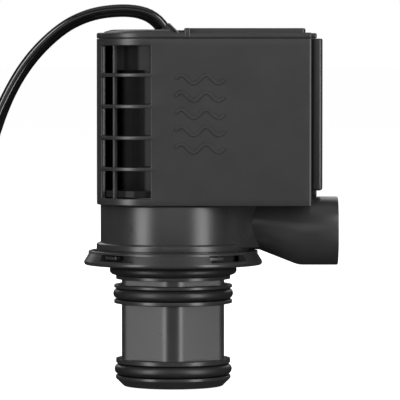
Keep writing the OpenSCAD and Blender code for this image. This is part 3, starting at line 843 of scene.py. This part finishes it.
def notch_height(y):
    """Height of the wall's foot over the outlet pipe at that depth."""
    if abs(y) >= NOTCH_R:
        return FOOT
    return max(FOOT, OUTLET_Z + math.sqrt(NOTCH_R**2 - y * y))


def spread(start, end, step):
    """Even values from start to end, about a step apart."""
    count = max(1, round(abs(end - start) / step))
    return [start + (end - start) * k / count for k in range(count + 1)]


def shell(name, columns, levels, holes, wall, edge):
    """A casing shell from upright columns along its outline, with openings, a wall and round edges."""
    points, faces = [], []
    count = len(levels)
    for x, y in columns:
        low = notch_height(y) if x > RIGHT - 1 else FOOT
        points += [(x, y, z) for z in (low, max(levels[1], low + 1.3), *levels[2:])]
    for i in range(len(columns) - 1):
        for k in range(count - 1):
            if not holes(i, k):
                a, b = i * count + k, (i + 1) * count + k
                faces.append((a, b, b + 1, a + 1))
    made = mesh_object(name, points, faces)
    bm = bmesh.new()
    bm.from_mesh(made.data)
    loose = [v for v in bm.verts if not v.link_faces]
    bmesh.ops.delete(bm, geom=loose, context="VERTS")
    bm.to_mesh(made.data)
    bm.free()
    modifier(made, "SOLIDIFY", thickness=wall, offset=-1.0, use_even_offset=True, use_quality_normals=True)
    modifier(made, "BEVEL", width=edge, segments=3, limit_method="ANGLE", angle_limit=math.radians(40),
             use_clamp_overlap=False)
    modifier(made, "WEIGHTED_NORMAL", keep_sharp=True)
    bake_modifiers(made)
    return made


def notch_columns(x, start, end):
    """Points down the right wall, closer together over the outlet pipe."""
    edge = math.sqrt(NOTCH_R**2 - (FOOT - OUTLET_Z) ** 2)
    marks = sorted({round(v, 3) for v in [start, end, *spread(-edge, edge, 0.9), -12.0, 12.0, -18.0, 18.0]
                    if min(start, end) <= v <= max(start, end)})
    marks = [v for i, v in enumerate(marks) if i == 0 or v - marks[i - 1] > 0.35]
    return [(x, v) for v in marks]


class PUMP_OT_casing(bpy.types.Operator):
    """Front shell with its grille, rear shell with the guide rail, and the raised water mark"""

    bl_idname = "pump.casing"
    bl_label = "Casing shells"

    def execute(self, context):
        settings = context.scene.pump_casing
        wall, edge = settings.wall, settings.edge
        pitch = (GRILLE_TOP - GRILLE_LOW + settings.bar / MM) / settings.rows
        levels = [FOOT]
        for k in range(settings.rows):
            levels += [GRILLE_LOW + k * pitch, GRILLE_LOW + (k + 1) * pitch - settings.bar / MM]
        levels.append(HEAD)
        columns = [(LEFT, SEAM), (LEFT, -2.5)]
        first = 270 - GRILLE_SWEEP
        columns += arc(CORNER_X, -CORNER_Y, CORNER, 180, first, 4)
        start = len(columns) - 1
        columns += arc(CORNER_X, -CORNER_Y, CORNER, first + 4, 266, 15)
        columns.append((GRILLE_X, -FRONT))
        stop = len(columns) - 1
        columns += [(x, -FRONT) for x in spread(GRILLE_X, RIGHT - 0.9, 5.0)[1:]]
        columns += arc(RIGHT - 0.9, -FRONT + 0.9, 0.9, 270, 360, 4)[1:]
        columns += notch_columns(RIGHT, -18.0, SEAM + 3)
        front = shell("front_shell", columns, levels, lambda i, k: start <= i < stop and k % 2 == 1,
                      wall, edge)
        settle(front, "casing_plastic", replaces=("front_casing",), angle=50)
        upright = slab("grille_upright", box_outline(-0.35, 0.35, 0, 1.6, 0.25),
                       GRILLE_LOW - 0.8, GRILLE_TOP + 0.8)
        out = CORNER - wall / MM - UPRIGHT_IN
        place_mesh(upright, Matrix.Translation((CORNER_X * MM, -CORNER_Y * MM, 0))
                   @ Matrix.Rotation(math.radians(UPRIGHT_AT - 90), 4, "Z")
                   @ Matrix.Translation((0, out * MM, 0)))
        settle(upright, "casing_plastic")
        self.wave_mark(settings)

        back = notch_columns(REAR_RIGHT, SEAM + 0.1, FRONT - 1.2)
        back += arc(REAR_RIGHT - 0.9, FRONT - 0.9, 0.9, 0, 90, 4)
        back += [(x, FRONT) for x in spread(REAR_RIGHT - 0.9, CORNER_X, 5.0)[1:-1]]
        back += arc(CORNER_X, CORNER_Y, CORNER, 90, 180, 18) + [(LEFT, SEAM + 0.1)]
        rear = shell("rear_shell", back, [FOOT, GRILLE_LOW, 77, 94, HEAD - 2.3, HEAD], lambda i, k: False,
                     wall, edge)
        rail = slab("guide_rail", box_outline(*RAIL_BOX, 1.15), RAIL_FOOT, HEAD, top=0.5, bottom=0.9)
        join(rear, rail)
        settle(rear, "casing_plastic", replaces=("rear_casing",), angle=50)
        return {"FINISHED"}

    def wave_mark(self, settings):
        """Raised wavy lines on the front panel, one line repeated up the panel."""
        steps, span, height, thick, deep = 64, 15.6, 1.3, 1.1, 0.4
        rings = []
        for k in range(steps + 1):
            t = k / steps
            x = 8.6 + span * (t - 0.5)
            phase = 4 * math.pi * (t - 0.5)
            z = 76.6 + height * math.sin(phase)
            slope = math.atan(height * math.cos(phase) * 4 * math.pi / span)
            along = Vector((math.cos(slope), 0, math.sin(slope)))
            up = Vector((-along.z, 0, along.x))
            ends = min(1.0, math.sqrt(max(1 - (2 * t - 1) ** 16, 0.0)) + 0.25)
            ring = []
            for w, out in ((-0.5, -0.2), (-0.5, 0.2), (-0.36, deep), (0.36, deep), (0.5, 0.2), (0.5, -0.2)):
                ring.append(Vector((x, -FRONT - out, z)) + up * w * thick * ends)
            rings.append(ring)
        mark = loft("wave_mark", rings)
        run_tree(mark, tree_named("row_copies", row_tree), "casing_plastic", Count=settings.waves,
                 Pitch=(0, 0, 5.4 * MM))
        settle(mark, "casing_plastic")


class PUMP_OT_cover(bpy.types.Operator):
    """Stepped top cover over both shells, with the ribbed gland of the lead"""

    bl_idname = "pump.cover"
    bl_label = "Top cover and gland"

    def execute(self, context):
        base = HEAD + 0.1
        cover = slab("lid", casing_outline(RIGHT), base, LID_TOP, top=0.5, bottom=0.25)
        parts = [
            slab("lid_strip", box_outline(39.0, REAR_RIGHT, SEAM, FRONT, 0.7), base, LID_TOP - 0.02,
                 top=0.45, bottom=0.25),
            self.left_pad(),
            slab("lid_back", box_outline(-3.0, 8.0, 14.0, 22.0, 0.4), 112.2, LID_PAD_TOP,
                 top=0.35, bottom=0.1),
            slab("lid_right", box_outline(3.9, RIGHT - 2.0, -22.0, 22.02, 1.1), 112.1, LID_STEP_TOP,
                 top=0.55, bottom=0.1),
            slab("lid_ridge", box_outline(3.6, 5.7, -24.3, 22.0, 0.6), base + 0.05, LID_STEP_TOP + 0.02,
                 top=0.45, bottom=0.3),
        ]
        for part in parts:
            boolean(cover, part, "UNION")
        tip = Vector(GLAND_TIP)
        ahead = Vector((-math.cos(math.radians(GLAND_TILT)), 0, math.sin(math.radians(GLAND_TILT))))
        boolean(cover, rod("gland_hole", tip - ahead * GLAND_LONG, tip + ahead * 1.5, GLAND_R + 0.12),
                "DIFFERENCE")
        settle(cover, "casing_plastic", replaces=("top_cover",), angle=40)
        self.gland(tip, ahead)
        return {"FINISHED"}

    def left_pad(self):
        """Raised pad round the left end, with a sloped shoulder."""
        rings = []
        for inset, z in ((2.2, 112.3), (2.2, 112.85), (2.6, 113.2), (4.3, 113.66), (5.4, LID_PAD_TOP)):
            r = CORNER - inset
            right = -1.0 - max(0.0, (z - 113.5))
            rings.append([(x, y, z) for x, y in
                          [(right, FRONT - inset)] + arc(CORNER_X, CORNER_Y, r, 92, 180, 18)
                          + arc(CORNER_X, -CORNER_Y, r, 180, 268, 18) + [(right, -FRONT + inset)]])
        return loft("lid_left", rings)

    def gland(self, tip, ahead):
        """Tapered sleeve round the lead, with two ribs, on its own slanted axis."""
        body = rounded([(0.02, -GLAND_LONG, 0, 0), (GLAND_R, -GLAND_LONG), (GLAND_R, -9.0, 0, 1.5),
                        (2.75, 0.2), (0.02, 0.2, 0, 0)], 0.3)
        gland = loft("cable_gland_sleeve", [[(r * math.cos(turn), r * math.sin(turn), z)
                                             for turn in round_angles(48)] for r, z, _ in body])
        ring = lathe("gland_ribs", rounded([(2.4, -9.4), (3.9, -9.4), (3.9, -8.3), (2.4, -8.3)], 0.35), 48)
        run_tree(ring, tree_named("row_copies", row_tree), "gland_rubber", Count=2, Pitch=(0, 0, 2.2 * MM),
                 Shrink=0.04)
        turn = Matrix.Translation(tip * MM) @ ahead.to_track_quat("Z", "Y").to_matrix().to_4x4()
        for part in (gland, ring):
            place_mesh(part, turn)
        settle(gland, "gland_rubber", replaces=("cable_gland",))
        settle(ring, "gland_rubber")


# ---------- wet end ----------


class PUMP_OT_chamber(bpy.types.Operator):
    """Pump chamber with its outlet pipe and bayonet lugs, and its four screws"""

    bl_idname = "pump.chamber"
    bl_label = "Pump chamber"

    def execute(self, context):
        around = context.scene.pump_nozzle.segments
        profile = [(0.02, SPIGOT_LOW, 0, 0), (SPIGOT_R, SPIGOT_LOW, 0, 0.4), (SPIGOT_R, 40.3, 0, 0.1),
                   (23.0, 40.5, 0, 0.1), (23.0, 42.6, 0, 0.1), (SPIGOT_R, 42.8, 0, 0.1),
                   (SPIGOT_R, 43.7, 0, 0), (24.5, 43.9, 0, 0.15), (24.5, 45.8, 0, 0.8), (22.6, 46.2, 0, 0.3),
                   (22.6, 58.0, 0, 0.3), (CAVITY_R, 58.0, 0, 0), (CAVITY_R, 61.0, 0, 0.3), (0.02, 61.0, 0, 0)]
        body = lathe("chamber_body", rounded(profile, 0.3), around)
        bulge = slab("volute", self.volute_outline, 44.4, CHAMBER_TOP, top=0.4, bottom=0.8)
        outlet = self.pipe("outlet", [
            (12.0, THROAT_Z, THROAT_R), (26.5, THROAT_Z, THROAT_R), (27.6, 51.98, 8.44), (30.5, 51.42, 9.02),
            (34.0, 50.75, 9.73), (38.9, 49.82, 10.72), (40.3, 49.64, 10.92), (41.5, OUTLET_Z, OUTLET_R),
            (52.35, OUTLET_Z, OUTLET_R), (52.6, OUTLET_Z, 10.85), (52.7, OUTLET_Z, 10.6),
        ])
        boolean(body, bulge, "UNION")
        boolean(body, outlet, "UNION")
        cuts = [
            lathe("cavity", [(0.02, 30, 0), (CAVITY_R, 30, 0), (CAVITY_R, 56.5, 0), (0.02, 56.5, 0)], around),
            lathe("roof_hole", [(0.02, 50, 0), (9, 50, 0), (9, 70, 0), (0.02, 70, 0)], 96),
            self.pipe("passage", [(12.0, THROAT_Z, THROAT_BORE), (27.5, THROAT_Z, THROAT_BORE),
                                  (40.0, OUTLET_Z, OUTLET_BORE), (52.2, OUTLET_Z, OUTLET_BORE),
                                  (52.5, OUTLET_Z, 9.05), (53.0, OUTLET_Z, 9.5)]),
        ]
        for cut in cuts:
            boolean(body, cut, "DIFFERENCE")
        settle(body, "wet_plastic", replaces=("pump_chamber",), angle=35)

        lugs = join(*[ring_sector("bayonet_lugs", 22.8, 26.0, 41.1, 42.2, at - LUG_SHIFT + 1, LUG_WIDE)
                      for at in WINDOWS[:2]])
        modifier(lugs, "BEVEL", width=0.00015, segments=2, limit_method="ANGLE", angle_limit=math.radians(50))
        run_tree(lugs, tree_named("polar_copies", polar_tree), "wet_plastic", Count=2, Step=math.pi)
        settle(lugs, "wet_plastic")

        screw = self.screw()
        run_tree(screw, tree_named("polar_copies", polar_tree), "screw_steel", Count=4, Step=math.pi / 2)
        settle(screw, "screw_steel", replaces=("chamber_screws",))
        return {"FINISHED"}

    def volute_outline(self, inset):
        """Outline of the volute: round, and swelling towards the outlet pipe."""
        points = []
        for turn in round_angles(240):
            angle = turn - math.pi
            r = CHAMBER_R + SWELL * ease(1 - abs(angle) / math.radians(SWELL_DEG)) - inset
            points.append((r * math.cos(angle), r * math.sin(angle)))
        return points

    def pipe(self, name, sections):
        """Round bar along X through sections of (x, height, radius)."""
        return loft(name, [[(x, r * math.cos(turn), z + r * math.sin(turn)) for turn in round_angles(96)]
                           for x, z, r in sections])

    def screw(self):
        """Pan-head screw with a cross recess, in the first of the four screw places."""
        shank = [(0.02, 56.7), (2.7, 56.7, 0, 0.4), (2.7, 57.4, 0, 0.3), (2.2, 58.2, 0, 0.1),
                 (1.5, 58.2, 0, 0.1)]
        for k in range(9):
            z = 58.9 + 0.8 * k
            shank += [(1.22, z, 0, 0.05), (1.5, z + 0.4, 0, 0.05)]
        shank += [(1.1, 66.0), (0.02, 66.0)]
        spot = SCREW_CIRCLE * math.cos(math.radians(45))
        made = lathe("screws", rounded(shank, 0.0, steps=2), 40, centre=(spot, spot))
        for turn in (0, 90):
            bar = slab("recess", box_outline(-1.8, 1.8, -0.35, 0.35, 0.1), 56.0, 57.6, top=0.05, bottom=0.05,
                       steps=1)
            stand(bar, spot, spot, math.radians(turn))
            boolean(made, bar, "DIFFERENCE")
        return made


class PUMP_OT_nozzle(bpy.types.Operator):
    """Twist-off suction nozzle: ridged hexagonal barrel, slotted bayonet flange and bearing spider"""

    bl_idname = "pump.nozzle"
    bl_label = "Suction nozzle"

    def execute(self, context):
        settings = context.scene.pump_nozzle
        e = settings.edge / MM
        h = HEX_CORNER
        # Each point is radius, height, hexagon share and corner radius
        barrel = rounded([
            (13.0, 0.0, 0, 0.5), (15.9, 0.0, 0, 0.6), (18.4, 2.5, 0, 0.5), (18.4, 3.4, 0, e),
            (15.35, 3.4, 0, 0.2), (15.35, 7.4, 0, 0.2), (18.3, 7.4, 0, e), (18.3, 8.7, 0, e),
            (h, 8.9, 1, 0.3), (h, 26.4, 1, 0.3), (18.9, 26.6, 0, e), (18.9, 27.7, 0, e),
            (15.75, 27.7, 0, 0.2), (15.75, 31.5, 0, 0.2), (18.9, 31.5, 0, e), (18.9, 32.4, 0, e),
            (h, 32.6, 1, 0.2), (h, 34.2, 1, 0.2), (18.3, 34.4, 0, e), (18.3, 35.4, 0, e),
            (17.55, 35.5, 0, 0.2), (17.55, 38.9, 0, 0), (10.1, 38.9, 0, 0), (13.0, 36.0, 0, 1.0),
        ], e)
        made = lathe("nozzle_barrel", barrel, settings.segments)
        settle(made, "wet_plastic", "cover", replaces=("nozzle_cover",), angle=35)

        flange = lathe("bayonet_flange", rounded([
            (10.1, 38.9, 0, 0), (28.2, 38.9, 0, 0.25), (28.5, 39.4, 0, 0.3), (28.5, 40.0, 0, 0.35),
            (26.9, 42.6, 0, 1.2), (26.6, 43.4, 0, 0.3), (25.0, 43.4, 0, 0.2), (25.0, 39.4, 0, 0.3),
            (20.9, 39.4, 0, 0.3), (20.9, 41.45, 0, 0), (19.02, 41.45, 0, 0), (19.02, 43.75, 0, 0),
            (20.9, 43.75, 0, 0), (20.9, 45.4, 0, 0.4), (8.5, 45.4, 0, 0.4), (8.5, 40.5, 0, 0.3),
        ], 0.2), settings.segments)
        for side in (0, 180):
            grip = ring_sector("grip", 25.1, 27.1, 41.2, 43.38, side, 14)
            modifier(grip, "BEVEL", width=0.0003, segments=2, limit_method="ANGLE",
                     angle_limit=math.radians(50))
            bake_modifiers(grip)
            boolean(flange, grip, "UNION")
        for at in WINDOWS:
            boolean(flange, ring_sector("window", 24.5, 30.0, 40.6, 42.7, at, WINDOW_WIDE, 16), "DIFFERENCE")
            boolean(flange, ring_sector("channel", 24.5, 26.3, 41.0, 44.4, at + LUG_SHIFT - 0.75,
                                        LUG_WIDE + 1.5), "DIFFERENCE")
        settle(flange, "wet_plastic", "cover", angle=35)

        hub = lathe("bearing_spider", rounded([(3.4, 41.2), (4.7, 41.2), (4.7, 45.4), (3.4, 45.4)], 0.3), 64)
        arm = slab("arm", box_outline(3.9, 9.4, -0.8, 0.8, 0.2), 41.2, 44.8, top=0.4, bottom=0.4)
        stand(arm, 0, 0, math.radians(90))
        run_tree(arm, tree_named("polar_copies", polar_tree), "wet_plastic", Count=3, Step=2 * math.pi / 3)
        join(hub, arm)
        settle(hub, "wet_plastic", "cover")
        return {"FINISHED"}


class PUMP_OT_rings(bpy.types.Operator):
    """The three O-rings on the nozzle and the two seals inside"""

    bl_idname = "pump.rings"
    bl_label = "O-rings and seals"

    def execute(self, context):
        tree = tree_named("rubber_ring", ring_tree)
        for seed, (name, body, radius, height, section) in enumerate(RINGS):
            made = mesh_object(name + "_rubber", [(0, 0, 0)], [])
            run_tree(made, tree, "ring_rubber", Radius=radius * MM, Section=section * MM, Height=height * MM,
                     Seed=float(seed))
            outwards(made)
            settle(made, "ring_rubber", body, replaces=(name,), angle=60)
        return {"FINISHED"}


class PUMP_OT_inside(bpy.types.Operator):
    """Finishes of the CAD parts that stay: motor block, windings, rotor, shaft and bearings"""

    bl_idname = "pump.inside"
    bl_label = "Motor and rotor"

    def execute(self, context):
        slots = {part["node"]: part["material_slot"] for part in frame["record"]["subparts"]}
        for name, made in frame["nodes"].items():
            paint(made, slots[name])
        for name in ("motor_housing", "impeller", "rotor_sleeve", "shaft"):
            self.smooth_copy(name, slots[name])
        return {"FINISHED"}

    def smooth_copy(self, name, slot):
        """A merged copy of a CAD part, so that its round walls shade smoothly."""
        source = frame["nodes"][name]
        made = add_object(name + "_smooth", source.data.copy())
        bm = bmesh.new()
        bm.from_mesh(made.data)
        bmesh.ops.remove_doubles(bm, verts=bm.verts, dist=2e-6)
        bmesh.ops.dissolve_limit(bm, angle_limit=math.radians(0.5), verts=bm.verts, edges=bm.edges)
        bm.to_mesh(made.data)
        bm.free()
        settle(made, slot, source["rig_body"], replaces=(name,), angle=28)


# ---------- stage ----------


class PUMP_OT_stage(bpy.types.Operator):
    """Camera, pale floor, strip lights and room light"""

    bl_idname = "pump.stage"
    bl_label = "Stage"

    def execute(self, context):
        scene = context.scene
        settings = scene.pump_stage
        scene.view_settings.view_transform = "Standard"
        camera = add_object("camera", bpy.data.cameras.new("camera"))
        camera.data.sensor_width = 36
        camera.data.lens = CAMERA_LENS
        camera.data.clip_start, camera.data.clip_end = 0.05, 50
        camera.location = CAMERA_AT
        aim = Vector(CAMERA_AIM) - camera.location
        camera.rotation_euler = aim.to_track_quat("-Z", "Y").to_euler()
        scene.camera = camera

        corners = [(x * FLOOR_HALF, y * FLOOR_HALF, FLOOR_Z) for x, y in ((-1, -1), (1, -1), (1, 1), (-1, 1))]
        floor = mesh_object("floor", corners, [(0, 1, 2, 3)])
        floor.data.materials.append(self.floor_material(settings.floor))

        for *facts, share in LIGHTS:
            self.strip(*facts, settings.key * share)
        self.room(scene, settings.ambient)
        return {"FINISHED"}

    def strip(self, name, azimuth, elevation, distance, wide, tall, power):
        """A soft rectangular light aimed at the pump's middle, and hidden from the camera."""
        data = bpy.data.lights.new(name, "AREA")
        data.shape, data.size, data.size_y, data.energy = "RECTANGLE", wide, tall, power
        light = add_object(name, data)
        a, b = math.radians(azimuth), math.radians(elevation)
        centre = Vector((0.0, 0.0, 0.06))
        away = Vector((math.sin(a) * math.cos(b), -math.cos(a) * math.cos(b), math.sin(b)))
        light.location = centre + away * distance
        light.rotation_euler = (-away).to_track_quat("-Z", "Y").to_euler()
        light.visible_camera = False

    def floor_material(self, tint):
        """Pale mottled floor that only the camera sees."""
        material = bpy.data.materials.new("pale_floor")
        tree = blank_tree(material)
        place = node(tree, "ShaderNodeTexCoord").outputs["Object"]
        grain = node(tree, "ShaderNodeGroup", {0: place, 1: 300, 2: 3},
                     node_tree=bpy.data.node_groups["moulded_grain"])
        shade = mix(tree, grain.outputs[1], [c * 0.98 for c in tint] + [1], [*tint, 1])
        matt = node(tree, "ShaderNodeBsdfDiffuse", {0: shade})
        clear = node(tree, "ShaderNodeBsdfTransparent")
        glow = node(tree, "ShaderNodeEmission", {0: (1, 1, 1, 1), 1: 0.97})
        seen = node(tree, "ShaderNodeAddShader", {0: matt.outputs[0], 1: glow.outputs[0]})
        node(tree, "ShaderNodeOutputMaterial", {0: for_camera(tree, clear, seen)})
        return material

    def room(self, scene, strength):
        """White behind the pump, and a soft even light from all round."""
        world = bpy.data.worlds.new("room")
        tree = blank_tree(world)
        seen = node(tree, "ShaderNodeBackground", {0: (1, 1, 1, 1), 1: 1.0})
        fill = node(tree, "ShaderNodeBackground", {0: (0.95, 0.97, 1.0, 1), 1: strength})
        node(tree, "ShaderNodeOutputWorld", {0: for_camera(tree, fill, seen)})
        scene.world = world


class PUMP_PT_panel(bpy.types.Panel):
    """Lists the pump's settings and its building steps"""

    bl_label = "Aquarium pump head"
    bl_idname = "PUMP_PT_panel"
    bl_space_type = "VIEW_3D"
    bl_region_type = "UI"
    bl_category = "Pump"

    def draw(self, context):
        for group in SETTINGS:
            box = self.layout.box()
            for key in group.__annotations__:
                box.prop(getattr(context.scene, SETTINGS[group]), key)
        for step in STEPS:
            self.layout.operator(step.bl_idname)


SETTINGS = {PumpCasingSettings: "pump_casing", PumpNozzleSettings: "pump_nozzle",
            PumpLeadSettings: "pump_lead", PumpStageSettings: "pump_stage"}
STEPS = (PUMP_OT_stage, PUMP_OT_lead, PUMP_OT_casing, PUMP_OT_cover, PUMP_OT_chamber, PUMP_OT_nozzle,
         PUMP_OT_rings, PUMP_OT_inside)


def register():
    for group, attribute in SETTINGS.items():
        bpy.utils.register_class(group)
        setattr(bpy.types.Scene, attribute, bpy.props.PointerProperty(type=group))
    for step in (*STEPS, PUMP_PT_panel):
        bpy.utils.register_class(step)


def unregister():
    for step in (PUMP_PT_panel, *reversed(STEPS)):
        bpy.utils.unregister_class(step)
    for group, attribute in SETTINGS.items():
        delattr(bpy.types.Scene, attribute)
        bpy.utils.unregister_class(group)


def main():
    register()
    make_materials(bpy.context.scene)
    bpy.ops.pump.stage()
    bpy.ops.pump.lead()
    bpy.ops.pump.casing()
    bpy.ops.pump.cover()
    bpy.ops.pump.chamber()
    bpy.ops.pump.nozzle()
    bpy.ops.pump.rings()
    bpy.ops.pump.inside()


if __name__ == "__main__":
    main()
